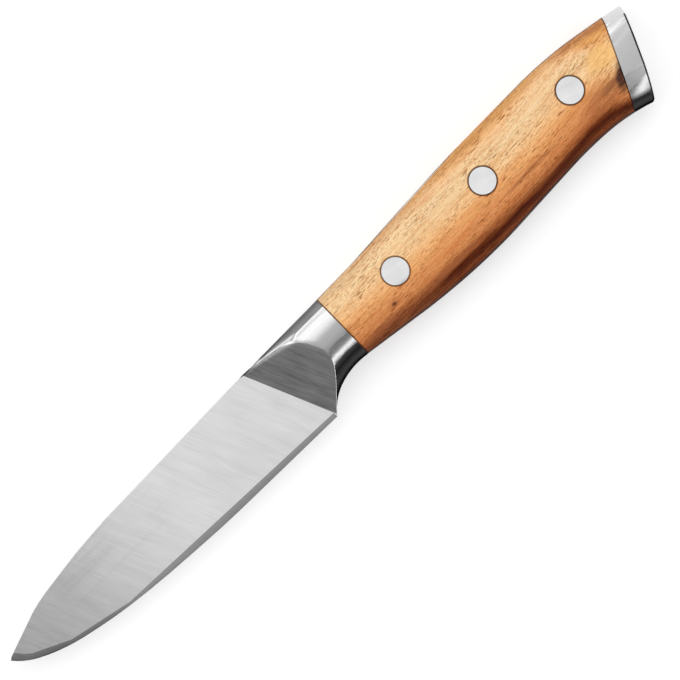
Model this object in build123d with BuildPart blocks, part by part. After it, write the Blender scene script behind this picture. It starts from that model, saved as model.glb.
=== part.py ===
from build123d import *
import os
from math import cos, radians, sin, sqrt, tan

os.makedirs("parts", exist_ok=True)

# A paring knife lying on its cheek: tip towards -X, spine towards +Y, thickness along Z.
# Lengths are in millimetres, angles in degrees. In the side view x runs from the tip
# to the butt and y from the tip up to the spine.

# Blade
blade_length = 89.7
spine_rise = 7.17
heel_drop = 14.54
spine_thickness = 2.2
edge_thickness = 0.54
tip_thickness = 0.9
tip_run = 0.7
tip_rise = 0.55
bevel_angle = 15.0
bevel_reach = 2.0
grind_stock = 0.03
spine_shares = ((0.1003, 0.467), (0.178, 0.698), (0.301, 0.874), (0.468, 0.979))
edge_start_share = 0.127
edge_shares = ((0.0557, 0.288), (0.167, 0.553), (0.357, 0.7705), (0.669, 0.9286))

# Ramp from the blade's face up to the bolster's cheek
ramp_lead = 8.1
ramp_lean = 21.7
ramp_angle = 26.3

# Handle: bolster, scales and butt cap under one outline. Its heights are taken down from
# the spine's line, to the belly and to the arch of the bolster's neck.
bolster_length = 15.15
scale_length = 87.2
cap_thickness = 5.3
handle_height = 21.3
neck_height = 16.7
handle_thickness = 14.0
joint_lean = 1.7
butt_lean = 26.3
butt_radius = 150.0
butt_chamfer = 0.4
crown_radius = 15.5
shoulder_height = 3.2
shoulder_inset = 0.35
belly_depth = 9.5
flank_radius = 11.0
heel_angle = 52.0
top_shares = ((0.133, -0.0126), (0.337, 0.0031), (0.7645, 0.0347), (0.904, -0.0375), (1.12, -0.275))
neck_shares = ((0.0539, 0.8295), (0.128, 0.989))
under_shares = ((0.254, 0.474), (0.542, 1.014), (0.690, 0.900), (0.811, 0.947), (1.01, 2.52))

# Tang, with the tongue that the cap is brazed on
tang_thickness = 2.2
tongue_length = 3.0
tongue_height = 10.0

# Two-part rivets, headed on both sides
rivet_count = 3
rivet_seat = 17.05
rivet_margin = 14.25
rivet_drop = 0.78
rivet_head_diameter = 6.35
rivet_head_length = 3.0
rivet_barrel_diameter = 4.7
rivet_shank_diameter = 3.2
rivet_floor = 1.0

# Gap round each rivet and the tongue, and the overrun of every cut
fit_gap = 0.04
overrun = 2.0

# Places that follow from the sizes
half_thickness = handle_thickness / 2
half_tang = tang_thickness / 2
handle_length = bolster_length + scale_length + cap_thickness
blade_height = spine_rise + heel_drop
heel = Vector(blade_length, -heel_drop)
tip_low = Vector(0, 0)
tip_top = Vector(tip_run, tip_rise)
ramp_top = Vector(blade_length - ramp_lead, spine_rise)
edge_start = Vector(blade_length * edge_start_share, -heel_drop).normalized()
heel_way = Vector(cos(radians(heel_angle)), sin(radians(heel_angle)))
heel_square = Vector(-heel_way.Y, heel_way.X)
before_heel = heel - heel_way * belly_depth
wood_joint = Vector(blade_length + bolster_length, 0)
cap_joint = Vector(wood_joint.X + scale_length, 0)
butt_way = Vector(cos(radians(butt_lean)), -sin(radians(butt_lean)))
butt_middle = cap_joint - Vector(tan(radians(butt_lean)), 1) * handle_height / 4
rivet_pitch = (scale_length - rivet_seat - rivet_margin) / (rivet_count - 1)
rivet_places = [wood_joint + (rivet_seat + i * rivet_pitch, -rivet_drop) for i in range(rivet_count)]


# Each line of the outline is drawn as arcs that run on into one another, and gives its last point
def arcs_through(start, way, points):
    for point in points:
        arc = TangentArc(start, point, tangent=way)
        start = arc @ 1
        way = arc % 1
    return start


def spine_line():
    first, *others = [Vector(blade_length * a, spine_rise * b) for a, b in spine_shares]
    Line(tip_top, first)
    return arcs_through(first, first - tip_top, [*others, ramp_top])


def on_handle(level, height, shares):
    return [Vector(blade_length + handle_length * a, level + height * b) for a, b in shares]


def top_line():
    points = on_handle(spine_rise, handle_height, top_shares)
    return arcs_through(ramp_top, Vector(1, 0), points)


def edge_line():
    points = [Vector(blade_length * a, -heel_drop * b) for a, b in edge_shares]
    return arcs_through(tip_low, edge_start, [*points, heel])


def under_line():
    neck = spine_rise - neck_height
    points = on_handle(-heel_drop, neck + heel_drop, neck_shares)
    points += on_handle(neck, neck_height - handle_height, under_shares)
    Line(before_heel, heel)
    return arcs_through(heel, heel_way, points)


# The whole handle's side, running on past the heel and the butt
with BuildSketch() as handle_side:
    with BuildLine():
        Line(top_line(), under_line())
        Polyline(before_heel, before_heel + heel_square * 2 * belly_depth, ramp_top)
    make_face()

# The blade's side before its edge is cut, running into the bolster
with BuildSketch() as blade_side:
    with BuildLine():
        inside = heel - Vector(overrun, overrun / 2)
        Polyline(spine_line(), inside, (-overrun, inside.Y), (-overrun, tip_rise), tip_top)
    make_face()

# What lies beyond the cutting edge and the cut tip
far_left = -3 * overrun
far_down = -2 * blade_height
tip_up = (tip_top - tip_low).normalized() * 2 * overrun
with BuildSketch() as edge_waste:
    with BuildLine():
        last = edge_line() + Vector(overrun, 0)
        Polyline(heel, last, (last.X, far_down), (far_left, far_down), (far_left, tip_up.Y), tip_up, tip_low)
    make_face()

# What lies behind the wood joint, and behind the cap joint
with BuildSketch() as behind_bolster:
    with Locations(wood_joint):
        Rectangle(handle_length, 4 * handle_height, rotation=-joint_lean, align=(Align.MIN, Align.CENTER))
with BuildSketch() as behind_scales:
    with Locations(cap_joint):
        Rectangle(handle_length, 4 * handle_height, rotation=-butt_lean, align=(Align.MIN, Align.CENTER))

# The butt's end is a shallow arc of this circle, which holds the whole knife
with BuildSketch() as butt_circle:
    with Locations(butt_middle + butt_way * (cap_thickness - butt_radius)):
        Circle(butt_radius)

# The knife's outline gives the frame: its middle is the origin, its lower cheek is down
with BuildSketch() as silhouette:
    add(handle_side.sketch)
    add(blade_side.sketch)
    add(edge_waste.sketch, mode=Mode.SUBTRACT)
    add(butt_circle.sketch, mode=Mode.INTERSECT)
reach = silhouette.sketch.bounding_box()
side = Plane((-reach.center().X, -reach.center().Y, half_thickness))


def on_side(place, height=0):
    return side.from_local_coords(Vector(place.X, place.Y, height))


# What lies above the crowned back, with a shoulder below its crisp edges
crown_half = half_thickness - shoulder_inset
crown_low = crown_radius - sqrt(crown_radius**2 - crown_half**2)
shoulder_low = crown_low + shoulder_height
shoulder_radius = (shoulder_height**2 + shoulder_inset**2) / (2 * shoulder_inset)
outside = half_thickness + overrun
with BuildLine() as back:
    Line(ramp_top - Vector(overrun, 0), ramp_top)
    top_line()
back_path = back.wires()[0]
with BuildPart() as crown_waste:
    with BuildSketch(Plane(back_path @ 0, x_dir=(0, 0, 1), z_dir=back_path % 0)):
        with BuildLine():
            crown = ThreePointArc((-crown_half, crown_low), (0, 0), (crown_half, crown_low))
            right = RadiusArc(crown @ 1, (half_thickness, shoulder_low), shoulder_radius)
            left = RadiusArc(crown @ 0, (-half_thickness, shoulder_low), -shoulder_radius)
            Polyline(right @ 1, (outside, shoulder_low), (outside, -overrun), (0, -overrun))
            Polyline(left @ 1, (-outside, shoulder_low), (-outside, -overrun), (0, -overrun))
        make_face()
    sweep(path=back_path)

# What lies below the belly: its cheeks turn in over the flanks to a smaller round
flank_over = flank_radius - half_thickness
belly_radius = (flank_over**2 + belly_depth**2 - flank_radius**2) / (2 * (belly_depth - flank_radius))
flank_turn = belly_radius / (flank_radius - belly_radius)
belly_half = flank_over * flank_turn
belly_low = belly_radius - (belly_depth - belly_radius) * flank_turn
with BuildLine() as belly:
    Line(before_heel, heel)
    under_line()
belly_path = belly.wires()[0]
with BuildPart() as belly_waste:
    with BuildSketch(Plane(belly_path @ 0, x_dir=(0, 0, 1), z_dir=belly_path % 0)):
        with BuildLine():
            under = ThreePointArc((-belly_half, -belly_low), (0, 0), (belly_half, -belly_low))
            right = RadiusArc(under @ 1, (half_thickness, -belly_depth), flank_radius)
            left = RadiusArc(under @ 0, (-half_thickness, -belly_depth), -flank_radius)
            Polyline(right @ 1, (outside, -belly_depth), (outside, overrun), (0, overrun))
            Polyline(left @ 1, (-outside, -belly_depth), (-outside, overrun), (0, overrun))
        make_face()
    sweep(path=belly_path)

# Handle before it is rounded and parted, and its rounded form
with BuildPart() as handle_blank:
    with BuildSketch(side.offset(-half_thickness)):
        add(handle_side.sketch)
    extrude(amount=handle_thickness)
ground_off = [side.location * waste.part for waste in (crown_waste, belly_waste)]
with BuildPart() as handle_form:
    add(handle_blank.part)
    add(ground_off, mode=Mode.SUBTRACT)

# The blade's face rises from edge to spine and from tip to heel
rise_up = (spine_thickness - edge_thickness) / 2 / blade_height
rise_along = ((spine_thickness - tip_thickness) / 2 - rise_up * spine_rise) / blade_length
half_at_ramp = tip_thickness / 2 + rise_up * ramp_top.Y + rise_along * ramp_top.X
face_square = Vector(-rise_along, -rise_up, 1)
lean_way = Vector(sin(radians(ramp_lean)), -cos(radians(ramp_lean)))
ramp_way = lean_way + Vector(0, 0, rise_along * lean_way.X + rise_up * lean_way.Y)

# What lies outside the blade's faces and the ramps that lead up to the bolster's cheeks
face_back = -blade_length - 2 * overrun
face_top = handle_thickness
ramp_run = face_top / tan(radians(ramp_angle))
ramp_start = on_side(ramp_top, half_at_ramp)
with BuildPart() as face_waste:
    with BuildSketch(Plane(ramp_start, x_dir=face_square.cross(ramp_way), z_dir=ramp_way)):
        with BuildLine():
            Polyline((face_back, 0), (0, 0), (ramp_run, face_top), (face_back, face_top), close=True)
        make_face()
    extrude(amount=2 * blade_height, both=True)
    mirror(about=side)

# What the sharpened bevels take off
with BuildLine() as sharpening:
    Line(tip_low - edge_start * overrun, tip_low)
    edge_line()
edge_path = sharpening.wires()[0]
bevel_top = -grind_stock - bevel_reach
bevel_half = bevel_reach * tan(radians(bevel_angle))
with BuildPart() as bevel_waste:
    with BuildSketch(Plane(edge_path @ 0, x_dir=(0, 0, 1), z_dir=edge_path % 0)):
        with BuildLine():
            Polyline(
                (0, -grind_stock),
                (bevel_half, bevel_top),
                (spine_thickness, bevel_top),
                (spine_thickness, overrun),
                (-spine_thickness, overrun),
                (-spine_thickness, bevel_top),
                (-bevel_half, bevel_top),
                close=True,
            )
        make_face()
    sweep(path=edge_path)

# Tongue at the tang's end, and the slot for it in the cap
with BuildPart() as tongue:
    with BuildSketch(side.offset(-half_tang)):
        with Locations(butt_middle):
            Rectangle(2 * tongue_length, tongue_height, rotation=-butt_lean)
    extrude(amount=tang_thickness)
with BuildPart() as tongue_slot:
    add(tongue.part)
    offset(amount=fit_gap, kind=Kind.INTERSECTION)

# Blade, bolster and tang are one forging
with BuildPart() as blade_forging:
    add(handle_blank.part)
    with BuildSketch(side.offset(half_tang), side.offset(-half_tang - handle_thickness)):
        add(behind_bolster.sketch)
    extrude(amount=handle_thickness, mode=Mode.SUBTRACT)
    with BuildSketch(side.offset(-outside)):
        add(behind_scales.sketch)
    extrude(amount=2 * outside, mode=Mode.SUBTRACT)
    with BuildSketch(side.offset(-spine_thickness)):
        add(blade_side.sketch)
    extrude(amount=2 * spine_thickness)
    with BuildSketch(side.offset(-outside)):
        add(edge_waste.sketch)
    extrude(amount=2 * outside, mode=Mode.SUBTRACT)
    add(ground_off, mode=Mode.SUBTRACT)
    add(face_waste.part, mode=Mode.SUBTRACT)
    add(side.location * bevel_waste.part, mode=Mode.SUBTRACT)
    add(tongue.part)
    with Locations([on_side(place) for place in rivet_places]):
        Hole(rivet_barrel_diameter / 2 + fit_gap)
blade_forging.part.label = "blade_forging"
export_step(blade_forging.part, "parts/blade_forging.step")

# Left scale, on the upper cheek, and its mirror image below
with BuildPart() as left_scale:
    add(handle_blank.part)
    with BuildSketch(side.offset(half_tang)):
        add(behind_bolster.sketch)
        add(behind_scales.sketch, mode=Mode.SUBTRACT)
    extrude(amount=handle_thickness, mode=Mode.INTERSECT)
    add(ground_off, mode=Mode.SUBTRACT)
    with Locations([on_side(place, half_thickness) for place in rivet_places]):
        CounterBoreHole(
            radius=rivet_barrel_diameter / 2 + fit_gap,
            counter_bore_radius=rivet_head_diameter / 2 + fit_gap,
            counter_bore_depth=rivet_head_length,
        )
left_scale.part.label = "left_scale"
export_step(left_scale.part, "parts/left_scale.step")

with BuildPart() as right_scale:
    mirror(left_scale.part, about=side)
right_scale.part.label = "right_scale"
export_step(right_scale.part, "parts/right_scale.step")

# Butt cap, slotted for the tongue, with a chamfered end
with BuildPart() as butt_cap:
    add(handle_blank.part)
    with BuildSketch(side.offset(-outside)):
        add(behind_scales.sketch)
        add(butt_circle.sketch, mode=Mode.INTERSECT)
    extrude(amount=2 * outside, mode=Mode.INTERSECT)
    add(ground_off, mode=Mode.SUBTRACT)
    add(tongue_slot.part, mode=Mode.SUBTRACT)
    end_face = butt_cap.faces().filter_by(GeomType.CYLINDER).sort_by(Axis.X)[-1]
    chamfer(end_face.edges(), butt_chamfer)
butt_cap.part.label = "butt_cap"
export_step(butt_cap.part, "parts/butt_cap.step")

# A rivet's socket half: its barrel reaches down through the tang to the pin's head
barrel_end = -half_thickness + rivet_head_length
with BuildPart() as rivet_socket:
    with BuildSketch(side.offset(half_thickness - rivet_head_length)):
        Circle(rivet_head_diameter / 2)
    extrude(amount=rivet_head_length + overrun)
    with BuildSketch(side.offset(barrel_end)):
        Circle(rivet_barrel_diameter / 2)
    extrude(amount=handle_thickness - 2 * rivet_head_length)
    with BuildSketch(side.offset(barrel_end)):
        Circle(rivet_shank_diameter / 2)
    extrude(amount=half_thickness - rivet_floor - barrel_end, mode=Mode.SUBTRACT)

# Its pin half: the shank is pressed up the barrel
with BuildPart() as rivet_pin:
    with BuildSketch(side.offset(barrel_end)):
        Circle(rivet_head_diameter / 2)
    extrude(amount=-rivet_head_length - overrun)
    with BuildSketch(side.offset(barrel_end)):
        Circle(rivet_shank_diameter / 2)
    extrude(amount=half_thickness - rivet_floor - barrel_end - fit_gap)

# The heads stand proud when they are set, and are ground off flush with the handle
for number, place in enumerate(rivet_places, start=1):
    for half, name in ((rivet_socket, "rivet_socket"), (rivet_pin, "rivet_pin")):
        rivet_half = Pos(place) * half.part & handle_form.part
        rivet_half.label = f"{name}_{number}"
        export_step(rivet_half, f"parts/{name}_{number}.step")
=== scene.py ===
import bpy
import bmesh
import math
from mathutils import Matrix, Vector


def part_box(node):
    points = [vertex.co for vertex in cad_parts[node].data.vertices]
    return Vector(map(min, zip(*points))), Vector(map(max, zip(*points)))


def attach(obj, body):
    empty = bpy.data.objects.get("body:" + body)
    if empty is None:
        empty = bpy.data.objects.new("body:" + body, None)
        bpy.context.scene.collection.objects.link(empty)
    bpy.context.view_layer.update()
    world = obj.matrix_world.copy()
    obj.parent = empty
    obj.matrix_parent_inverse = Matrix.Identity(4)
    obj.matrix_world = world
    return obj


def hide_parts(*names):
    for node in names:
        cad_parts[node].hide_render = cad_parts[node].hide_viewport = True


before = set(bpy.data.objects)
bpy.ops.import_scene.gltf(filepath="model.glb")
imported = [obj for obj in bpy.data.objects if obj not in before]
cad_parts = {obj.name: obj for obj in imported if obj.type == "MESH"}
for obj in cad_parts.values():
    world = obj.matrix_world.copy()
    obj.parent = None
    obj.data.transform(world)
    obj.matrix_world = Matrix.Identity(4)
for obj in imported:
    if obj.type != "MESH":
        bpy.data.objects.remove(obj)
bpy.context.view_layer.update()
scene = bpy.context.scene
mm = 0.001
middle = 7.0 * mm  # height of the knife's middle plane
thickness = 2 * middle
print("frame loaded,", len(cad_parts), "nodes")


# camera over the knife, leaning a little towards the spine: lens in mm, angles in degrees
cameraPlan = {
    "lens": 800.0,
    "sensor": 36.0,
    "farthest": 20.0,
    "imagePixels": 680,
    "metresPerPixel": 0.0002228,
    "aim": (0.0027, 0.0012, 0.007),
    "knifeAngle": 46.0,
    "lean": 4.0,
}


def addCamera(plan):
    data = bpy.data.cameras.new("camera")
    data.lens = plan["lens"]
    data.sensor_width = plan["sensor"]
    data.clip_end = plan["farthest"]
    camera = bpy.data.objects.new("camera", data)
    scene.collection.objects.link(camera)
    lean = math.radians(plan["lean"])
    turn = math.radians(plan["knifeAngle"])
    along = Vector((1, 0, 0))
    back = Vector((0, math.sin(lean), math.cos(lean)))
    upwards = back.cross(along)
    right = along * math.cos(turn) - upwards * math.sin(turn)
    top = along * math.sin(turn) + upwards * math.cos(turn)
    width = plan["imagePixels"] * plan["metresPerPixel"]
    distance = width * plan["lens"] / plan["sensor"]
    place = Vector(plan["aim"]) + back * distance
    turned = Matrix((right, top, back)).transposed().to_4x4()
    camera.matrix_world = Matrix.Translation(place) @ turned
    scene.camera = camera


addCamera(cameraPlan)
scene.view_settings.view_transform = "Standard"
print("camera placed")


class Wire:
    # one output of a material's nodes, so that an expression on it adds Math nodes
    def __init__(self, tree, socket=None):
        self.tree = tree
        self.socket = socket

    def add(self, kind, settings, values, out=0):
        node = self.tree.nodes.new("ShaderNode" + kind)
        for name, value in settings.items():
            if name == "stops":
                fillRamp(node.color_ramp, value)
            else:
                setattr(node, name, value)
        for name, value in values.items():
            if isinstance(value, Wire):
                self.tree.links.new(value.socket, node.inputs[name])
            else:
                node.inputs[name].default_value = value
        return Wire(self.tree, node.outputs[out])

    def work(self, operation, *values):
        return self.add("Math", {"operation": operation}, dict(enumerate(values)))

    def __add__(self, other):
        return self.work("ADD", self, other)

    def __radd__(self, other):
        return self.work("ADD", other, self)

    def __sub__(self, other):
        return self.work("SUBTRACT", self, other)

    def __rsub__(self, other):
        return self.work("SUBTRACT", other, self)

    def __mul__(self, other):
        return self.work("MULTIPLY", self, other)

    def __rmul__(self, other):
        return self.work("MULTIPLY", other, self)

    def __truediv__(self, other):
        return self.work("DIVIDE", self, other)

    def __pow__(self, other):
        return self.work("POWER", self, other)

    def __abs__(self):
        return self.work("ABSOLUTE", self)

    def atMost(self, other):
        return self.work("MINIMUM", self, other)

    def atLeast(self, other):
        return self.work("MAXIMUM", self, other)

    def share(self, low, high):
        return self.add("MapRange", {}, {"Value": self, "From Min": low, "From Max": high})

    def fit(self, low, high, newLow=0.0, newHigh=1.0):
        values = {"Value": self, "From Min": low, "From Max": high, "To Min": newLow, "To Max": newHigh}
        return self.add("MapRange", {"interpolation_type": "SMOOTHSTEP"}, values)

    def split(self):
        return [self.add("SeparateXYZ", {}, {"Vector": self}, out) for out in range(3)]

    def moved(self, place=(0, 0, 0), turn=(0, 0, 0), scale=(1, 1, 1)):
        values = {"Vector": self, "Location": place, "Rotation": turn, "Scale": scale}
        return self.add("Mapping", {"vector_type": "POINT"}, values)

    def ramp(self, stops):
        return self.add("ValToRGB", {"stops": stops}, {"Fac": self})

    def level(self):
        return self.add("SeparateColor", {}, {"Color": self})

    def mixed(self, first, second):
        settings = {"data_type": "RGBA", "clamp_factor": True}
        return self.add("Mix", settings, {0: self, 6: first, 7: second}, 2)

    def tinted(self, tint):
        settings = {"data_type": "RGBA", "blend_type": "MULTIPLY"}
        return self.add("Mix", settings, {0: 1.0, 6: self, 7: (*tint, 1.0)}, 2)


def fillRamp(colorRamp, stops):
    colorRamp.interpolation = "CARDINAL"
    while len(colorRamp.elements) < len(stops):
        colorRamp.elements.new(1.0)
    for element, (place, color) in zip(colorRamp.elements, stops):
        element.position = place
        element.color = (*color, 1.0)


def startMaterial(name):
    material = bpy.data.materials.new(name)
    material.use_nodes = True
    shader = material.node_tree.nodes["Principled BSDF"]
    place = Wire(material.node_tree).add("TexCoord", {}, {}, "Object")
    return material, shader, place.moved(scale=(1 / mm,) * 3)


def plug(shader, **values):
    for name, value in values.items():
        target = shader.inputs[name.replace("_", " ")]
        if isinstance(value, Wire):
            value.tree.links.new(value.socket, target)
        else:
            target.default_value = value


def addBump(height):
    return height.add("Bump", {}, {"Strength": 1.0, "Distance": mm, "Height": height})


def grey(level):
    return (level, level, level)


def pattern(place, plan):
    # noise, its scale per mm along the three axes, its turn in radians
    turn = (0, 0, plan.get("turn", 0.0))
    shifted = place.moved(plan.get("shift", (0, 0, 0)), turn, plan["scale"])
    values = {"Vector": shifted, "Scale": 1.0, "Detail": plan["detail"], "Roughness": plan["rough"]}
    return place.add("TexNoise", {}, values)


def patches(place, plan):
    return pattern(place, plan).fit(*plan["range"])


def spot(x, y, shape):
    # full at its centre, fading out to its rim
    centreX, centreY, widthX, widthY = shape
    away = ((x - centreX) / widthX) ** 2.0 + ((y - centreY) / widthY) ** 2.0
    return away.fit(1.0, 0.0)


def bowl(distance, radius):
    # rise of a shallow arc at this distance from its middle
    return distance ** 2.0 * (0.5 / radius)


# ground steel: fine lines along one direction, soft clouds, a few deeper scratches
# places and lengths in mm, turns in degrees, slopes in mm per mm, shades as shares of the level
steelPlans = {
    "blade_satin": {
        "level": 0.80, "lineTurn": 69.3, "lineLength": 0.12, "lineWidth": 4.0,
        "lineShade": 0.22, "bandShade": 0.16, "cloudShade": 0.08, "scratchShade": 0.03,
        "roughness": 0.34, "roughShade": 0.12, "lineDepth": 0.004,
        "tip": {"shade": 0.46, "from": -46.0, "to": -98.0},
        "tipBands": {"shade": 0.13, "upwards": (-2.0, 7.0), "begin": (-86.0, -72.0), "end": (-44.0, -60.0),
                     "scale": (0.04, 0.6, 0.2), "detail": 2.0, "rough": 0.5, "range": (0.40, 0.75)},
    },
    # the ramp's dark level is partly its ground finish and partly painted shade; its buffed band is partly
    # polish and partly painted highlight
    "ramp_ground": {
        "level": 0.30, "lineTurn": 69.3, "lineLength": 0.20, "lineWidth": 2.0,
        "lineShade": 0.85, "bandShade": 0.75, "cloudShade": 0.35, "scratchShade": 0.03,
        "roughness": 0.36, "roughShade": 0.15, "lineDepth": 0.006,
        "buffedHighlight": {"place": (-18.4, 1.5), "size": (17.0, 10.0), "power": 2.3, "level": 0.85,
                   "cloudShade": 0.1, "soft": (0.03, 0.10), "softBetween": (8.5, 4.0),
                   "along": (-15.5, -13.5), "upwards": (-1.0, 1.0)},
    },
    # the bevel's dark level is partly its own grind and partly painted shade
    "edge_bevel": {
        "level": 0.38, "lineTurn": 69.3, "lineLength": 0.3, "lineWidth": 2.5,
        "lineShade": 0.25, "bandShade": 0.1, "cloudShade": 0.05, "scratchShade": 0.0,
        "roughness": 0.26, "roughShade": 0.05, "lineDepth": 0.0,
        "tip": {"shade": 0.40, "from": -62.0, "to": -90.0},
    },
    "bolster_polish": {
        "level": 0.56, "lineTurn": 0.0, "lineLength": 0.2, "lineWidth": 5.0,
        "lineShade": 0.10, "bandShade": 0.08, "cloudShade": 0.06, "scratchShade": 0.015,
        "roughness": 0.21, "roughShade": 0.08, "lineDepth": 0.0008,
        "crown": {"radius": 80.0, "middle": 4.2},
    },
    # painted highlight: near-white steel for the fine bright line along the ramp's eased edge, partly
    # buffed polish
    "buffed_edge_highlight": {
        "level": 0.95, "lineTurn": 69.3, "lineLength": 0.2, "lineWidth": 5.0,
        "lineShade": 0.08, "bandShade": 0.05, "cloudShade": 0.05, "scratchShade": 0.0,
        "roughness": 0.30, "roughShade": 0.08, "lineDepth": 0.001,
    },
    # the back's level is partly its brushed finish and partly painted shade
    "back_ground": {
        "level": 0.38, "rim": 0.14, "lineTurn": 0.0, "lineLength": 0.35, "lineWidth": 3.0,
        "lineShade": 0.9, "bandShade": 0.3, "cloudShade": 0.15, "scratchShade": 0.02,
        "roughness": 0.36, "roughShade": 0.15, "lineDepth": 0.004,
        "ridge": {"between": (11.05, 11.25), "shade": 0.75, "behindJoint": (5.0, 5.6), "shadeBehind": 0.45},
        "brightEdge": {"begin": (-16.5, -15.0), "end": (-2.5, -4.5), "through": (-4.0, 10.05),
                       "slope": -0.127, "soft": 0.10, "level": 0.85},
    },
    # painted shade: near-black steel where polished steel would mirror dark surroundings: the undersides,
    # the cap's end chamfer, the rivets' rims
    "dark_painted_shade_steel": {
        "level": 0.055, "rim": 0.12, "lineTurn": 0.0, "lineLength": 0.25, "lineWidth": 4.0,
        "lineShade": 0.35, "bandShade": 0.25, "cloudShade": 0.2, "scratchShade": 0.0,
        "roughness": 0.28, "roughShade": 0.1, "lineDepth": 0.002,
    },
    "cap_polish": {
        "level": 0.66, "lineTurn": 63.7, "lineLength": 0.15, "lineWidth": 4.0,
        "lineShade": 0.16, "bandShade": 0.12, "cloudShade": 0.08, "scratchShade": 0.02,
        "roughness": 0.27, "roughShade": 0.1, "lineDepth": 0.0015,
        "crown": {"radius": 90.0, "middle": 6.0},
        "shoulder": {"between": (3.5, 6.0), "rise": 0.145},
        "hollow": {"from": -3.2, "to": -6.1, "radius": 12.0, "slope": 0.19, "slopeRadius": 5.3},
        "fade": {"from": -7.5, "to": -9.0, "slope": 0.32, "at": 88.0, "shade": 0.90},
    },
    "rivet_satin": {
        "level": 0.80, "lineTurn": 20.0, "lineLength": 0.3, "lineWidth": 4.0,
        "lineShade": 0.12, "bandShade": 0.16, "cloudShade": 0.30, "scratchShade": 0.04,
        "roughness": 0.38, "roughShade": 0.1, "lineDepth": 0.002,
    },
}

# what all the steels share
steelGrain = {
    "lines": {"detail": 3.0, "rough": 0.6},
    "bands": {"scale": (0.05, 0.55, 0.3), "detail": 2.0, "rough": 0.5},
    "clouds": {"scale": (0.12, 0.12, 0.12), "detail": 2.0, "rough": 0.5},
    "scratches": {"scale": (0.05, 3.1, 1.0), "detail": 1.0, "rough": 0.4, "range": (0.66, 0.74)},
    "cloudGloss": 0.05,
    "blue": 1.01,
}


def darkenSteel(shade, x, y, place, plan):
    if "tip" in plan:  # painted shade: darker towards the tip
        tip = plan["tip"]
        shade = shade - tip["shade"] * x.fit(tip["from"], tip["to"])
    if "tipBands" in plan:  # with bands along the back
        bands = plan["tipBands"]
        along = bands["shade"] * patches(place, bands)
        shade = shade - along * y.fit(*bands["upwards"]) * x.fit(*bands["begin"]) * x.fit(*bands["end"])
    if "ridge" in plan:  # painted shade: darker along the bolster's top, and evenly so on the tang between the scales
        ridge = plan["ridge"]
        behind = x.fit(*ridge["behindJoint"])
        shade = shade - ridge["shade"] * y.fit(*ridge["between"]) * (1.0 - behind)
        shade = shade - ridge["shadeBehind"] * behind
    if "fade" in plan:  # painted shade: blackens towards the belly
        fade = plan["fade"]
        sloping = y + fade["slope"] * (x - fade["at"])
        shade = shade - fade["shade"] * sloping.fit(fade["from"], fade["to"])
    return shade


def bendSteel(height, y, plan):
    if "crown" in plan:  # the cheek isn't quite flat
        height = height - bowl(y - plan["crown"]["middle"], plan["crown"]["radius"])
    if "shoulder" in plan:  # it bends down to the back more gently than its facets do
        height = height + plan["shoulder"]["rise"] * y.fit(*plan["shoulder"]["between"])
    if "hollow" in plan:  # it turns into the belly later than its facets do, and then at once
        hollow = plan["hollow"]
        below = (y - hollow["from"]).atMost(0.0).atLeast(hollow["to"] - hollow["from"])
        beyond = (y - hollow["to"]).atMost(0.0)
        height = height + bowl(below, hollow["radius"])
        height = height + hollow["slope"] * beyond + bowl(beyond, hollow["slopeRadius"])
    return height


def highlightBuffedSteel(shade, x, y, clouds, plan):
    if "buffedHighlight" in plan:  # painted highlight: beyond a rounded limit of the grind, which is softer lower down, the buffed steel is lifted to a bright level
        buffedHighlight = plan["buffedHighlight"]
        across = abs((x - buffedHighlight["place"][0]) / buffedHighlight["size"][0]) ** buffedHighlight["power"]
        upwards = abs((y - buffedHighlight["place"][1]) / buffedHighlight["size"][1]) ** buffedHighlight["power"]
        away = (across + upwards) ** (1 / buffedHighlight["power"])
        part = away.fit(1.0, 1.0 + y.fit(*buffedHighlight["softBetween"], *buffedHighlight["soft"]))
        part = part * x.fit(*buffedHighlight["along"]) * y.fit(*buffedHighlight["upwards"])
        bright = buffedHighlight["level"] * (1.0 + buffedHighlight["cloudShade"] * (clouds - 0.5))
        shade = shade * (1.0 - part) + part * bright
    if "brightEdge" in plan:  # painted highlight: the back's share of the buffed band, lifted to a bright level
        edge = plan["brightEdge"]
        startX, startY = edge["through"]
        over = y - startY - (x - startX) * edge["slope"]
        part = over.fit(edge["soft"], -edge["soft"]) * x.fit(*edge["begin"]) * x.fit(*edge["end"])
        shade = shade * (1.0 - part) + part * edge["level"]
    return shade


def makeSteel(name, plan):
    material, shader, place = startMaterial(name)
    x, y = place.split()[:2]
    lined = place.moved(turn=(0, 0, math.radians(plan["lineTurn"])))
    lineScale = (plan["lineLength"], plan["lineWidth"], plan["lineWidth"])
    lines = pattern(lined, {**steelGrain["lines"], "scale": lineScale})
    bands = pattern(lined, steelGrain["bands"])
    clouds = pattern(place, steelGrain["clouds"])
    scratches = patches(lined, steelGrain["scratches"])
    shade = 1.0 + plan["lineShade"] * (lines - 0.5) + plan["bandShade"] * (bands - 0.5)
    shade = shade + plan["cloudShade"] * (clouds - 0.5) - plan["scratchShade"] * scratches
    shade = darkenSteel(shade, x, y, place, plan) * plan["level"]
    shade = highlightBuffedSteel(shade, x, y, clouds, plan)
    color = place.add("CombineColor", {}, {0: shade, 1: shade, 2: shade * steelGrain["blue"]})
    gloss = plan["roughness"] + plan["roughShade"] * (lines - 0.5)
    gloss = gloss + steelGrain["cloudGloss"] * (clouds - 0.5)
    height = bendSteel(lines * plan["lineDepth"], y, plan)
    plug(shader, Base_Color=color, Metallic=1.0, Roughness=gloss, Normal=addBump(height))
    if "rim" in plan:  # dark at a grazing angle too
        plug(shader, Specular_Tint=(*grey(plan["rim"]), 1.0))
    return material


steel = {name: makeSteel(name, plan) for name, plan in steelPlans.items()}
print("steels mixed")
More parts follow.
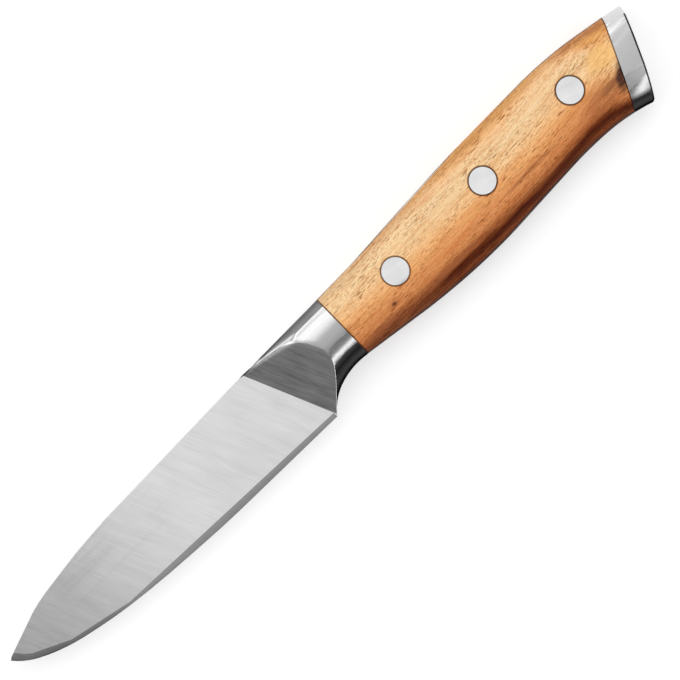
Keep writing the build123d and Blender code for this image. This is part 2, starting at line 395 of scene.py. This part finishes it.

# oiled wood, light over the cheek, with a dark streak that follows the belly: partly the wood's figure,
# partly painted shade along the underside
woodPlan = {
    # middle of the dark streak: share of the scale's length, height in mm
    "streak": [(0.0, -5.0), (0.12, -5.6), (0.24, -6.1), (0.36, -6.5), (0.46, -7.1), (0.55, -7.4),
               (0.66, -7.6), (0.76, -7.1), (0.84, -6.6), (0.90, -7.3), (0.95, -9.0), (1.0, -11.6)],
    "streakAlong": (5.0, 90.0), "lowest": -12.0, "highest": -4.0,
    # colours over the height above the streak
    "tones": [(0.0, (0.25, 0.060, 0.013)), (0.06, (0.28, 0.072, 0.016)), (0.10, (0.145, 0.029, 0.005)),
              (0.135, (0.175, 0.037, 0.0065)), (0.18, (0.46, 0.155, 0.048)), (0.24, (0.74, 0.30, 0.105)),
              (0.34, (0.84, 0.38, 0.145)), (0.40, (0.86, 0.42, 0.16)), (0.46, (0.97, 0.54, 0.235)),
              (0.58, (1.0, 0.68, 0.36)), (0.76, (1.0, 0.73, 0.42)), (0.84, (1.0, 0.63, 0.32)),
              (0.91, (0.90, 0.49, 0.18))],
    "toneBetween": (-3.0, 21.0),
    "sway": {"scale": (0.045, 0.14, 0.12), "detail": 2.0, "rough": 0.5, "by": 0.9},
    "ragged": {"scale": (0.30, 1.6, 1.0), "detail": 3.0, "rough": 0.6, "by": 1.3},
    # the streak is paler towards the bolster, and has dark strands all along it
    "pale": {"color": (0.36, 0.115, 0.036), "strength": 0.85, "along": (34.0, 14.0), "above": (1.6, 0.4)},
    "strands": {"scale": (0.05, 2.6, 1.3), "detail": 3.0, "rough": 0.65, "range": (0.44, 0.60),
                "above": (3.6, 0.6), "strength": 0.70, "tint": (0.42, 0.34, 0.30)},
    "bendFrom": 48.0, "bend": 0.0018,   # from this x on the grain rises towards the cap
    "specular": 0.09, "gloss": 0.56, "fibreGloss": 0.16, "poreGloss": 0.2,
    "fibreHeight": 0.006, "poreDepth": 0.03,
}

# the wood's figure, each layer laid over the one before it; the sheen is a painted sheen of lighter, bluer
# patches
figurePlan = {
    "layers": {"scale": (0.05, 1.0, 0.6), "detail": 4.0, "rough": 0.65,
               "range": (0.46, 0.66), "strength": 0.52, "tint": (0.84, 0.63, 0.47)},
    "sheen": {"shift": (3.0, 7.0, 1.0), "scale": (0.16, 0.62, 0.4), "detail": 3.0, "rough": 0.6,
              "range": (0.46, 0.72), "strength": 0.55, "tint": (1.07, 1.14, 1.26)},
    "flecks": {"shift": (1.0, 2.0, 3.0), "scale": (0.85, 3.6, 2.0), "detail": 3.0, "rough": 0.7,
               "range": (0.48, 0.68), "strength": 0.66, "tint": (0.85, 0.65, 0.49)},
    "fibre": {"scale": (0.95, 8.0, 4.0), "detail": 2.0, "rough": 0.7,
              "range": (0.46, 0.68), "strength": 0.54, "tint": (0.80, 0.63, 0.49)},
    "threads": {"shift": (2.0, 9.0, 4.0), "scale": (0.07, 4.6, 2.4), "detail": 2.0, "rough": 0.6,
                "range": (0.54, 0.66), "strength": 0.55, "tint": (0.80, 0.58, 0.44)},
    "mottle": {"scale": (1.4, 2.1, 1.6), "detail": 2.0, "rough": 0.6,
               "range": (0.48, 0.68), "strength": 0.42, "tint": (0.93, 0.81, 0.71)},
}

# its coloured places: a spot is its centre's x and y, then half its width along and across, in mm
stainPlan = {
    "red": {"color": (0.40, 0.125, 0.045), "strength": 0.80, "layers": (0.30, 0.56),
            "streak": (0.8, (60.0, -2.6, 11.0, 0.8)),
            "spots": [(0.8, (83.2, -2.7, 9.5, 3.6)), (0.9, (11.0, -3.6, 9.0, 1.5)),
                      (0.8, (29.0, -5.0, 14.0, 1.2))]},
    "gold": {"color": (0.98, 0.55, 0.17), "strength": 0.75, "spot": (88.4, 3.6, 6.0, 3.4)},
    "smoke": {"color": (0.085, 0.032, 0.020), "strength": 0.95, "layers": (0.35, 0.65),
              "least": 0.78, "more": 0.35, "slope": 0.9, "at": 88.0,
              "spot": (88.6, -3.1, 3.4, 2.7), "trail": (0.4, (85.4, -2.6, 4.2, 1.6))},
    "burnt": {"color": (0.42, 0.12, 0.03), "strength": 0.70, "along": (76.0, 86.0), "ragged": (0.30, 0.55),
              "through": (85.5, 10.55), "slope": -0.20, "under": (-1.7, -0.3)},
    "halo": {"tint": (0.62, 0.50, 0.42), "strength": 0.5, "spot": (16.9, -1.5, 2.6, 1.2)},
    "knot": {"color": (0.15, 0.045, 0.022), "strength": 0.9, "spot": (16.9, -1.5, 0.85, 0.62)},
}

# its pores, long and short, crowded in places, and a ripple by the cap
porePlan = {
    "tint": (0.42, 0.24, 0.14), "strength": 0.95, "shortShare": 0.75, "shortCrowd": (-0.6, 1.0),
    "crowd": {"shift": (5.0, 2.0, 0.0), "scale": (0.09, 0.36, 0.2), "detail": 2.0, "rough": 0.5,
              "range": (0.34, 0.60)},
    "long": {"scale": (0.42, 5.0, 2.8), "detail": 1.0, "rough": 0.5, "range": (0.62, 0.68)},
    "short": {"shift": (8.0, 3.0, 2.0), "scale": (1.0, 6.6, 3.4), "detail": 1.0, "rough": 0.5,
              "range": (0.61, 0.68)},
    "ripple": {"turn": -0.30, "scale": (0.50, 3.4, 2.0), "detail": 1.0, "rough": 0.5, "range": (0.56, 0.64),
               "spot": (86.5, 1.0, 5.0, 2.2), "strength": 0.8, "tint": (0.42, 0.24, 0.14)},
}

# dark lines where the wood meets steel, and a painted shade under the belly
seamAndBellyShadePlan = {
    "ring": {"radius": 3.2, "outer": 0.42, "inner": 0.16, "strength": 0.92, "tint": (0.20, 0.12, 0.08)},
    # bolster and cap: x of the joint at y 0, its slope in mm per mm, the way from it into the wood
    "joints": [(5.16, 0.0297, 1), (90.23, 0.4942, -1)],
    "joint": {"outer": 0.36, "inner": 0.14, "strength": 0.90, "tint": (0.14, 0.09, 0.07)},
    # painted shade: the wood darkened where its surface faces down, under the belly
    "belly": {"facing": (-0.80, -0.96), "strength": 0.95, "tint": (0.06, 0.04, 0.03)},
}


def stain(color, mask, plan):
    # a tint lets the wood under it show, a colour covers it
    mask = plan["strength"] * mask
    if "tint" in plan:
        return mask.mixed(color, color.tinted(plan["tint"]))
    return mask.mixed(color, (*plan["color"], 1.0))


def woodTones(place, x, bent, ragged, plan):
    low = plan["lowest"]
    tall = plan["highest"] - low
    stops = [(stop, grey((height - low) / tall)) for stop, height in plan["streak"]]
    streak = x.share(*plan["streakAlong"]).ramp(stops).level() * tall + low
    above = bent + plan["ragged"]["by"] * (ragged - 0.5) - streak
    color = above.share(*plan["toneBetween"]).ramp(plan["tones"])
    pale = plan["pale"]
    color = stain(color, x.fit(*pale["along"]) * above.fit(*pale["above"]), pale)
    strands = plan["strands"]
    return stain(color, patches(place, strands) * above.fit(*strands["above"]), strands)


def stainWood(color, x, y, bent, layers, ragged, plan):
    red = plan["red"]
    share, shape = red["streak"]
    mask = share * spot(x, bent, shape)
    for share, shape in red["spots"]:
        mask = mask + share * spot(x, y, shape)
    color = stain(color, mask * layers.fit(*red["layers"]), red)
    color = stain(color, spot(x, y, plan["gold"]["spot"]), plan["gold"])
    smoke = plan["smoke"]
    share, shape = smoke["trail"]
    sloping = y - (x - smoke["at"]) * smoke["slope"]
    mask = spot(x, sloping, smoke["spot"]) + share * spot(x, y, shape)
    color = stain(color, mask * (smoke["least"] + smoke["more"] * layers.fit(*smoke["layers"])), smoke)
    burnt = plan["burnt"]
    startX, startY = burnt["through"]
    topEdge = y - (startY + burnt["slope"] * (x - startX))
    mask = topEdge.fit(*burnt["under"]) * x.fit(*burnt["along"]) * ragged.fit(*burnt["ragged"])
    return stain(color, mask, burnt)


def rivetCentres():
    # from the frame, in mm
    boxes = [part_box(node) for node in sorted(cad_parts) if node.startswith("rivet_socket")]
    return [(low + high) / 2 / mm for low, high in boxes]


def darkenSeamsAndShadeBelly(color, place, x, y, plan):
    ring = plan["ring"]
    for centre in rivetCentres():
        away = ((x - centre.x) ** 2.0 + (y - centre.y) ** 2.0) ** 0.5 - ring["radius"]
        color = stain(color, away.fit(ring["outer"], ring["inner"]), ring)
    joint = plan["joint"]
    for start, slope, side in plan["joints"]:
        inward = (x - (y * slope + start)) * (side / math.hypot(1, slope))
        color = stain(color, inward.fit(joint["outer"], joint["inner"]), joint)
    # painted shade under the belly, by which way the surface faces
    facing = place.add("TexCoord", {}, {}, "Normal").split()[1]
    return stain(color, facing.fit(*plan["belly"]["facing"]), plan["belly"])


def makeWood(name, plan):
    material, shader, place = startMaterial(name)
    x, y, z = place.split()
    bent = y + plan["sway"]["by"] * (pattern(place, plan["sway"]) - 0.5)
    ragged = pattern(place, plan["ragged"])
    color = woodTones(place, x, bent, ragged, plan)

    rise = (x - plan["bendFrom"]).atLeast(0.0) ** 2.0 * plan["bend"]
    grain = place.add("CombineXYZ", {}, {0: x, 1: bent - rise, 2: z})
    figure = {}
    for layer, look in figurePlan.items():
        figure[layer] = pattern(place if layer == "mottle" else grain, look)
        color = stain(color, figure[layer].fit(*look["range"]), look)
    color = stainWood(color, x, y, bent, figure["layers"], ragged, stainPlan)

    crowd = patches(place, porePlan["crowd"])
    longPores = patches(grain, porePlan["long"]) * crowd
    shortPores = patches(grain, porePlan["short"]) * crowd.fit(*porePlan["shortCrowd"])
    pores = longPores.atLeast(porePlan["shortShare"] * shortPores)
    color = stain(color, pores, porePlan)
    ripple = porePlan["ripple"]
    color = stain(color, patches(grain, ripple) * spot(x, y, ripple["spot"]), ripple)
    for dark in ("halo", "knot"):
        color = stain(color, spot(x, y, stainPlan[dark]["spot"]), stainPlan[dark])
    color = darkenSeamsAndShadeBelly(color, place, x, y, seamAndBellyShadePlan)

    fibre = figure["fibre"]
    height = plan["fibreHeight"] * fibre - plan["poreDepth"] * pores
    gloss = plan["gloss"] + plan["fibreGloss"] * (fibre - 0.5) + plan["poreGloss"] * pores
    plug(shader, Base_Color=color, Roughness=gloss, Normal=addBump(height))
    plug(shader, Specular_IOR_Level=plan["specular"])
    return material


scaleWood = makeWood("oiled_wood", woodPlan)
print("wood mixed")

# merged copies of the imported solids, with their crisp edges eased
piecePlan = {
    "merge": 0.002 * mm,
    "flat": 1.8,       # degrees between triangles that become one face
    "crisp": 24.0,     # degrees at which an edge stays an edge
    "steps": 2,        # faces across an eased edge
    "level": 0.03,     # a face is level along the knife when its normal leans less than this
    "snap": 0.01 * mm,
}


def middleOf(face):
    return face.calc_center_median()


def planeOf(face):
    # its normal, and how far out along it the face lies
    return face.normal.copy(), face.normal.dot(face.verts[0].co)


def copySolid(node):
    bm = bmesh.new()
    bm.from_mesh(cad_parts[node].data)
    bmesh.ops.remove_doubles(bm, verts=bm.verts, dist=piecePlan["merge"])
    flat = math.radians(piecePlan["flat"])
    bmesh.ops.dissolve_limit(bm, angle_limit=flat, verts=bm.verts, edges=bm.edges)
    bm.normal_update()
    return bm


def crispEdges(bm):
    limit = math.radians(piecePlan["crisp"])
    return [e for e in bm.edges if len(e.link_faces) == 2 and e.calc_face_angle(0) > limit]


def easeEdges(bm, edges, width, material=-1):
    bmesh.ops.bevel(bm, geom=edges, offset=width, offset_type="OFFSET", segments=piecePlan["steps"],
                    profile=0.5, affect="EDGES", material=material, clamp_overlap=True)
    bm.normal_update()


def addPiece(name, bm, materials, node):
    crisp = set(crispEdges(bm))
    for face in bm.faces:
        face.smooth = True
    for edge in bm.edges:
        edge.smooth = edge not in crisp
    mesh = bpy.data.meshes.new(name)
    bm.to_mesh(mesh)
    bm.free()
    piece = bpy.data.objects.new(name, mesh)
    scene.collection.objects.link(piece)
    for material in materials:
        mesh.materials.append(material)
    even = piece.modifiers.new("even_shading", "WEIGHTED_NORMAL")
    even.keep_sharp = True
    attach(piece, "root")
    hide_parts(node)
    print("made", name, len(mesh.polygons), "faces")


def between(table, value):
    # value from a table of rising places, straight from row to row
    if value <= table[0][0]:
        return table[0][1]
    for (start, first), (end, second) in zip(table, table[1:]):
        if value < end:
            return first + (second - first) * (value - start) / (end - start)
    return table[-1][1]


def cutCells(bm, faces, cell, limits):
    # cuts across the faces along X and Y, a cell apart, whose corners can then be moved
    part = set(faces) | {e for f in faces for e in f.edges} | {v for f in faces for v in f.verts}
    snap = piecePlan["snap"]
    for axis, (low, high) in enumerate(limits):
        way = Vector((0, 0, 0))
        way[axis] = 1.0
        for step in range(int((high - low) / cell)):
            start = way * (low + step * cell)
            cut = bmesh.ops.bisect_plane(bm, geom=list(part), dist=snap, plane_co=start, plane_no=way)
            part = set(cut["geom"]) | set(cut["geom_cut"])
    return {g for g in part if isinstance(g, bmesh.types.BMVert)}


class Profile:
    # a row of facets' planes, with its corners evened out: height along one axis over another
    samples = 4

    def __init__(self, faces, along, upwards, even):
        self.rows = [planeOf(face) for face in sorted(faces, key=lambda face: middleOf(face)[along])]
        self.along = along
        self.upwards = upwards
        self.even = even

    def height(self, row, x, value):
        normal, reach = self.rows[row]
        return (reach - normal.x * x - normal[self.along] * value) / normal[self.upwards]

    def lead(self, row, x, value):
        # height of one facet's plane over the next one's
        return self.height(row, x, value) - self.height(row + 1, x, value)

    def facetAt(self, x, value):
        row = 0
        while row + 1 < len(self.rows):
            start = self.lead(row, x, 0)
            corner = start / (start - self.lead(row, x, 1))
            if value < corner:
                break
            row += 1
        return self.height(row, x, value)

    def depthOf(self, place):
        value = place[self.along]
        even = self.even(value)
        steps = range(-self.samples, self.samples + 1)
        heights = [self.facetAt(place.x, value + even * step / self.samples) for step in steps]
        mean = (sum(heights) - (heights[0] + heights[-1]) / 2) / (2 * self.samples)
        normal = Vector((0, 0, 0))
        normal[self.along] = (heights[0] - heights[-1]) / (2 * even)
        normal[self.upwards] = 1.0
        normal.normalize()
        return (mean - place[self.upwards]) * normal[self.upwards], normal


def rounded(first, second, width):
    # the edge between two surfaces turned into an arc over this width
    (near, normal), (far, other) = sorted((first, second), key=lambda pair: pair[0])
    overlap = max(width - (far - near), 0) / width if width > 0 else 0
    return near - overlap ** 2 * width / 4, normal.lerp(other, overlap / 2)


# forging: blade, ramp, bolster and tang in one piece, its faces sorted by finish
forgingPlan = {
    # the underside's finish is a near-black painted shade
    "finishes": {"blade": "blade_satin", "ramp": "ramp_ground", "edge": "edge_bevel",
                 "polish": "bolster_polish", "back": "back_ground", "under": "dark_painted_shade_steel",
                 "buffedHighlight": "buffed_edge_highlight"},
    "rampTop": (-18.049 * mm, 11.438 * mm),
    "heel": (-9.949 * mm, -10.272 * mm),
    # a face is the ramp's, the bevel's, the back's or the underside's by how its normal turns
    "rampTurn": (0.86, 0.91), "rampLean": -0.3,
    "bevelTurn": 0.12, "bevelBelow": 5.0 * mm,
    "backTurn": 0.85, "underTurn": 0.85,
    "easing": 0.07 * mm,
    "lineBelow": 0.0 * mm,   # under this height the ramp's edge is a fine bright line, partly a painted highlight
    "lineWide": 0.11 * mm,
    # how widely buffing has rounded the ramp's edges, in mm: the back's over x, the cheek's over y
    "backRound": [(-17.5, 0.0), (-15.0, 0.6), (-12.6, 0.95), (-10.5, 1.2), (-8.6, 1.4), (-6.3, 1.75),
                  (-5.4, 1.8), (-4.4, 1.0), (-3.4, 0.3), (-2.4, 0.0)],
    "cheekRound": [(-1.5, 0.0), (0.5, 0.2), (2.0, 0.45), (5.0, 0.55), (10.0, 0.5)],
    # how widely the corners between facets are evened, in mm: the cheek's over y
    "cheekEven": [(1.7, 0.3), (4.0, 1.2), (6.0, 1.6)], "backEven": 0.7,
    "cell": 0.34 * mm, "cellsAlong": (-19.0 * mm, 4.9 * mm), "cellsTop": 11.4 * mm,
    "facet": 2.8 * mm ** 2,   # larger faces are facets of the surfaces
    "upperTurn": 0.01, "cheekTurn": 0.95, "backEdgeTurn": 0.05,
    "cheekFrom": (1.7 * mm, 13.0 * mm),   # the cheek lies above this y and z
    "bolsterEnd": 6.0 * mm,
    "passes": 3,
    "outwards": 0.02 * mm,   # how far a corner may move outwards
}


def sortFaces(bm, finish, plan):
    top = Vector((*plan["rampTop"], 0))
    way = (Vector((*plan["heel"], 0)) - top).normalized()
    square = Vector((-way.y, way.x, 0))
    rampLow, rampHigh = plan["rampTurn"]
    for face in bm.faces:
        centre, normal = middleOf(face), face.normal
        beforeRamp = (Vector((centre.x, centre.y, 0)) - top).dot(square) < 0
        if beforeRamp and normal.y < -plan["bevelTurn"] and centre.y < plan["bevelBelow"]:
            part = "edge"
        elif beforeRamp:
            part = "blade"
        elif centre.x < 0 and rampLow < abs(normal.z) < rampHigh and normal.x < plan["rampLean"]:
            part = "ramp"
        elif normal.y > plan["backTurn"]:
            part = "back"
        elif normal.y < 0 and abs(normal.z) < plan["underTurn"]:
            part = "under"
        else:
            part = "polish"
        face.material_index = finish[part]


def findSurfaces(bm, finish, plan):
    # the upper half's ramp, cheek and back, and the faces on both halves that buffing reaches
    def onBolster(face):
        return abs(face.normal.x) < piecePlan["level"] and middleOf(face).x < plan["bolsterEnd"]

    cheekY, cheekZ = plan["cheekFrom"]
    facets = [f for f in bm.faces if f.calc_area() > plan["facet"]]
    upper = [f for f in facets if f.normal.z > plan["upperTurn"]]
    ramp = next(f for f in upper if f.material_index == finish["ramp"])
    level = [f for f in upper if onBolster(f)]
    backFaces = [f for f in level if f.material_index == finish["back"]]
    cheekFaces = [f for f in level if f.normal.z > plan["cheekTurn"]]
    cheekFaces = [f for f in cheekFaces if middleOf(f).z > cheekZ and middleOf(f).y > cheekY]
    back = Profile(backFaces, 2, 1, lambda value: plan["backEven"] * mm)
    cheek = Profile(cheekFaces, 1, 2, lambda value: between(plan["cheekEven"], value / mm) * mm)

    lowest = min(v.co.y for f in cheekFaces for v in f.verts)
    near = [f for f in facets if f.material_index == finish["ramp"]]
    for face in [f for f in bm.faces if onBolster(f)]:
        turn = abs(face.normal.z)
        onCheek = face.material_index == finish["polish"] and middleOf(face).y > lowest
        onBack = face.material_index == finish["back"]
        if onCheek and turn > plan["cheekTurn"] or onBack and turn > plan["backEdgeTurn"]:
            near.append(face)
    return planeOf(ramp), cheek, back, near


def buffCorner(place, ramp, cheek, back, plan):
    # moves a corner of the upper half onto the rounded surface
    rampNormal, rampReach = ramp
    for turn in range(plan["passes"]):
        cheekWidth = between(plan["cheekRound"], place.y / mm) * mm
        backWidth = between(plan["backRound"], place.x / mm) * mm
        rampDepth = rampReach - rampNormal.dot(place)
        side = rounded((rampDepth, rampNormal), cheek.depthOf(place), cheekWidth)
        depth, normal = rounded(side, back.depthOf(place), backWidth)
        if depth < plan["outwards"]:
            place += normal * (depth / normal.length_squared)
    place.z = min(place.z, thickness)


def buffRamp(bm, finish, plan):
    ramp, cheek, back, near = findSurfaces(bm, finish, plan)
    floor = min(v.co.y for f in near for v in f.verts)
    limits = [plan["cellsAlong"], (floor, plan["cellsTop"])]
    for vert in cutCells(bm, near, plan["cell"], limits):
        place = vert.co.copy()
        under = place.z < middle
        if under:
            place.z = thickness - place.z
        buffCorner(place, ramp, cheek, back, plan)
        if under:
            place.z = thickness - place.z
        vert.co = place
    bm.normal_update()


def makeForging(plan):
    bm = copySolid("blade_forging")
    finish = {part: row for row, part in enumerate(plan["finishes"])}
    sortFaces(bm, finish, plan)

    def isLine(edge):
        parts = [face.material_index for face in edge.link_faces]
        low = max(v.co.y for v in edge.verts) < plan["lineBelow"]
        return low and parts.count(finish["ramp"]) == 1 and finish["blade"] not in parts

    handleEdges = [e for e in crispEdges(bm) if min(v.co.x for v in e.verts) > 0]
    easeEdges(bm, handleEdges, plan["easing"])
    easeEdges(bm, [e for e in crispEdges(bm) if isLine(e)], plan["lineWide"], finish["buffedHighlight"])
    buffRamp(bm, finish, plan)
    finishes = [steel[name] for name in plan["finishes"].values()]
    addPiece("knife_forging", bm, finishes, "blade_forging")


# scales: two slabs of wood on the tang
scalePlan = {
    "easing": 0.06 * mm,
    "names": {"left_scale": "upper_scale", "right_scale": "lower_scale"},
}


def makeScales(plan):
    for node, name in plan["names"].items():
        bm = copySolid(node)
        easeEdges(bm, crispEdges(bm), plan["easing"])
        addPiece(name, bm, [scaleWood], node)


# cap: its cheeks evened, painted dark below and on the chamfer round its end, a painted shade
capPlan = {
    "finishes": ("cap_polish", "dark_painted_shade_steel"),
    "easing": 0.08 * mm,
    "underTurn": 0.76, "endFace": 0.7, "chamferTurn": (0.25, 0.85),
    "cheekTurn": 0.95, "cheekLean": -0.3,
    "cheekEven": [(-2.0, 0.6), (2.0, 0.9), (6.0, 1.6)],
    "facet": 1.2 * mm ** 2,
    "cell": 0.30 * mm,
    "outwards": 0.02 * mm, "most": 0.2 * mm,   # how far a corner may move outwards, and at all
}


def evenCheek(bm, side, plan):
    # side is 1 on the upper cheek and -1 on the lower one
    def onCheek(face):
        facet = face.normal.z * side > plan["cheekTurn"] and face.calc_area() > plan["facet"]
        return facet and abs(face.normal.x) < piecePlan["level"] and face.normal.y > plan["cheekLean"]

    cheekFaces = [face for face in bm.faces if onCheek(face)]
    cheek = Profile(cheekFaces, 1, 2, lambda value: between(plan["cheekEven"], value / mm) * mm)
    heights = [v.co.y for f in cheekFaces for v in f.verts]
    limits = [(0, 0), (min(heights), max(heights))]  # no cuts across X
    for vert in cutCells(bm, cheekFaces, plan["cell"], limits):
        depth, normal = cheek.depthOf(vert.co)
        if depth * side < plan["outwards"] and abs(depth) < plan["most"]:
            vert.co += normal * depth
            vert.co.z = min(max(vert.co.z, 0), thickness)


def makeCap(plan):
    bm = copySolid("butt_cap")
    for side in (1, -1):
        evenCheek(bm, side, plan)
    bm.normal_update()
    chamferLow, chamferHigh = plan["chamferTurn"]
    for face in bm.faces:
        normal = face.normal
        below = normal.y < 0 and abs(normal.z) < plan["underTurn"] and normal.x < plan["endFace"]
        chamfered = chamferLow < normal.x < chamferHigh and middleOf(face).x > 0
        face.material_index = 1 if below or chamfered else 0
    easeEdges(bm, crispEdges(bm), plan["easing"])
    addPiece("slanted_cap", bm, [steel[name] for name in plan["finishes"]], "butt_cap")


# rivets: six halves, the eased rims of their heads painted dark, a dark joint line that is partly painted
# shade
rivetPlan = {
    "finishes": ("rivet_satin", "dark_painted_shade_steel"),
    "easing": 0.09 * mm,
    "rimFinish": 1,
}


def makeRivets(plan):
    for node in sorted(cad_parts):
        if node.startswith("rivet"):
            bm = copySolid(node)
            easeEdges(bm, crispEdges(bm), plan["easing"], plan["rimFinish"])
            finishes = [steel[name] for name in plan["finishes"]]
            addPiece(node.replace("rivet", "flush"), bm, finishes, node)


makeForging(forgingPlan)
makeScales(scalePlan)
makeCap(capPlan)
makeRivets(rivetPlan)
print("pieces dressed")

# studio: pale floor, a sky that is graded from the edge's side to the spine's, two soft boxes
studioPlan = {
    # degrees from straight up towards the spine, level
    "sky": [(-180, 0.5), (-92, 0.3), (-84, 0.06), (-70, 0.08), (-63, 0.7), (-55, 0.7), (-49, 0.28),
            (-35, 0.34), (-22, 0.62), (-8, 0.72), (-4, 0.76), (1, 0.98), (8, 1.25), (28, 1.35),
            (40, 1.15), (60, 0.8), (92, 0.6), (180, 0.5)],
    "skyTop": 2.0,
    "floorSize": 6.0,
    "floorColor": (0.55, 0.55, 0.55, 1.0),
    "floorGlow": 0.56,
    "distance": 0.60,
    "spineBox": {"side": 21.0, "wide": 28.0, "length": 0.90, "shift": 0.12, "level": 0.5},
    "edgeBox": {"side": -60.0, "wide": 13.0, "length": 1.20, "shift": 0.12, "level": 1.2},
}


def addSoftBox(name, plan, distance):
    side = math.radians(plan["side"])
    width = 2 * distance * math.tan(math.radians(plan["wide"] / 2))
    data = bpy.data.lights.new(name, "AREA")
    data.shape = "RECTANGLE"
    data.size = plan["length"]
    data.size_y = width
    data.energy = plan["level"] * math.pi * plan["length"] * width
    lamp = bpy.data.objects.new(name, data)
    scene.collection.objects.link(lamp)
    lamp.location = (plan["shift"], distance * math.sin(side), distance * math.cos(side))
    lamp.rotation_euler = (-side, 0, 0)
    lamp.visible_camera = False


def addSky(plan):
    world = bpy.data.worlds.new("studio")
    scene.world = world
    world.use_nodes = True
    tree = world.node_tree
    sky = tree.nodes["Background"]
    sky.inputs["Color"].default_value = (1, 1, 1, 1)
    y, z = Wire(tree).add("TexCoord", {}, {}, "Generated").split()[1:]
    turn = y.work("ARCTAN2", y, z) / (2 * math.pi) + 0.5
    stops = [(angle / 360 + 0.5, grey(level / plan["skyTop"])) for angle, level in plan["sky"]]
    level = turn.ramp(stops).level() * plan["skyTop"]
    seen = Wire(tree).add("LightPath", {}, {}, "Is Camera Ray")
    level = level * (1.0 - seen) + seen
    tree.links.new(level.socket, sky.inputs["Strength"])


def addFloor(plan):
    material = bpy.data.materials.new("pale_floor")
    material.use_nodes = True
    tree = material.node_tree
    shader = tree.nodes["Principled BSDF"]
    rays = ("Is Camera Ray", "Is Glossy Ray", "Is Transmission Ray")
    camera, glossy, through = [Wire(tree).add("LightPath", {}, {}, ray) for ray in rays]
    seen = camera.atLeast(glossy.atLeast(through))
    plug(shader, Base_Color=plan["floorColor"], Roughness=1.0, Specular_IOR_Level=0.0)
    plug(shader, Emission_Color=(1, 1, 1, 1), Emission_Strength=seen * plan["floorGlow"])
    bm = bmesh.new()
    bmesh.ops.create_grid(bm, x_segments=1, y_segments=1, size=plan["floorSize"])
    mesh = bpy.data.meshes.new("floor")
    bm.to_mesh(mesh)
    bm.free()
    mesh.materials.append(material)
    floor = bpy.data.objects.new("floor", mesh)
    scene.collection.objects.link(floor)


addSky(studioPlan)
addFloor(studioPlan)
addSoftBox("spine_box", studioPlan["spineBox"], studioPlan["distance"])
addSoftBox("edge_box", studioPlan["edgeBox"], studioPlan["distance"])
print("studio lit")
